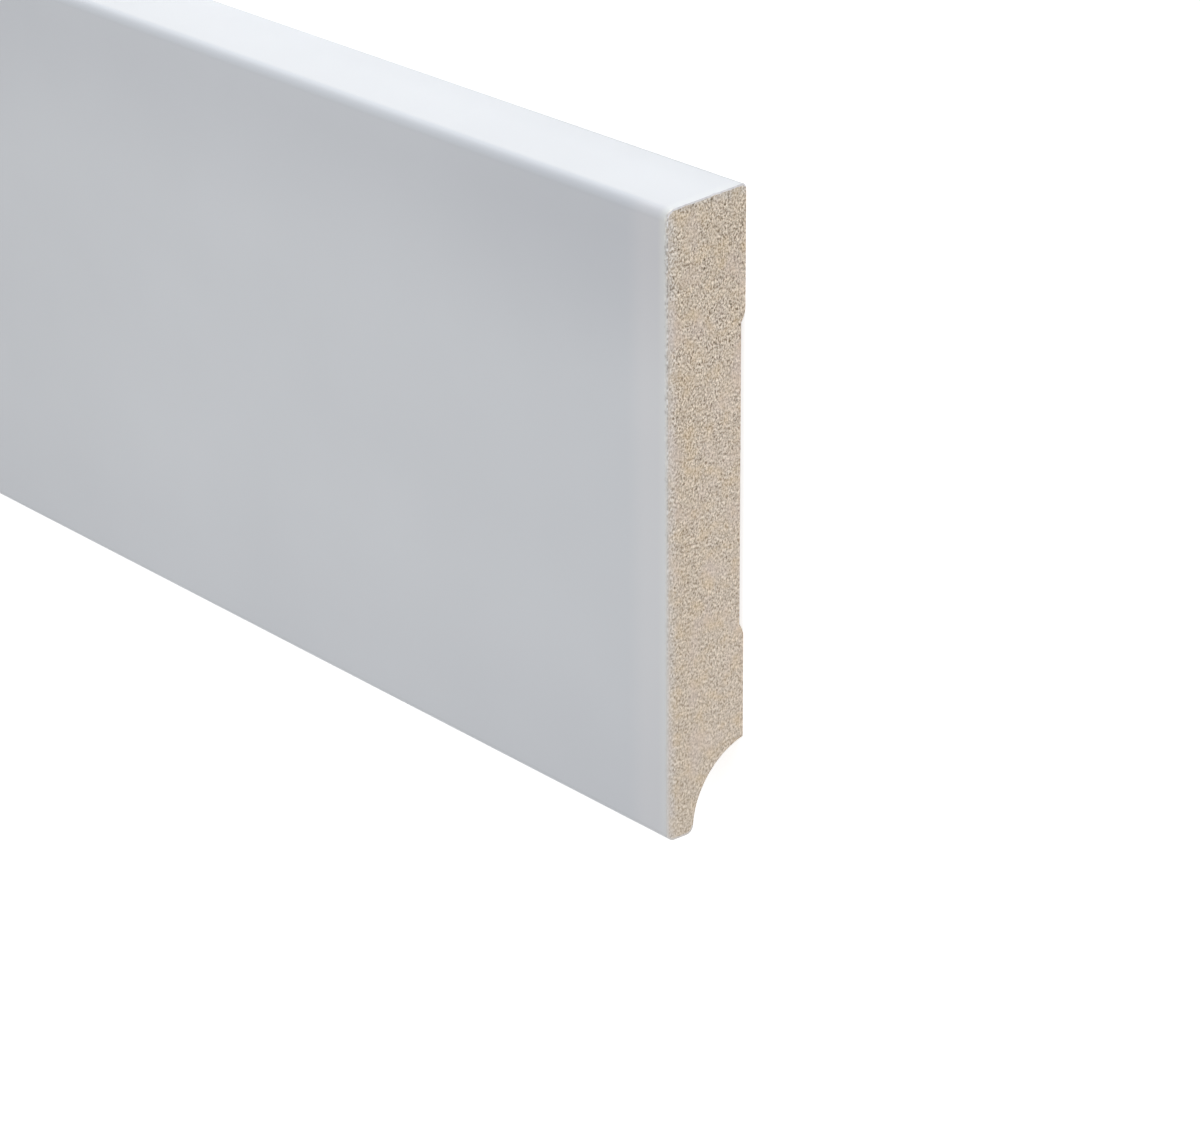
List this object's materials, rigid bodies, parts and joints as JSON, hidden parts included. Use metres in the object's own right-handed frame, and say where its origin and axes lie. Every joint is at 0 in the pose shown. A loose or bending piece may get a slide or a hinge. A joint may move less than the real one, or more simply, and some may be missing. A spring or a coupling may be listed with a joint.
{
  "type": "skirting board length",
  "caption": "Foil-wrapped MDF skirting board length with a flat face, a small eased top edge, a relieved back and a cable cove behind the toe, lying on its back.",
  "frame": {"origin": "centre of the length and of the height, on the plane of the back pads that the board lies on", "axes": "+X along the board's length, +Y from the toe to the top edge, +Z out of the front face"},
  "size_m": [2.4, 0.1, 0.015],
  "materials": {
    "mdf": "matte",
    "white_foil": "satin"
  },
  "bodies": {
    "root": {"mdf_core": "mdf", "foil_wrap": "white_foil"}
  },
  "joints": []
}
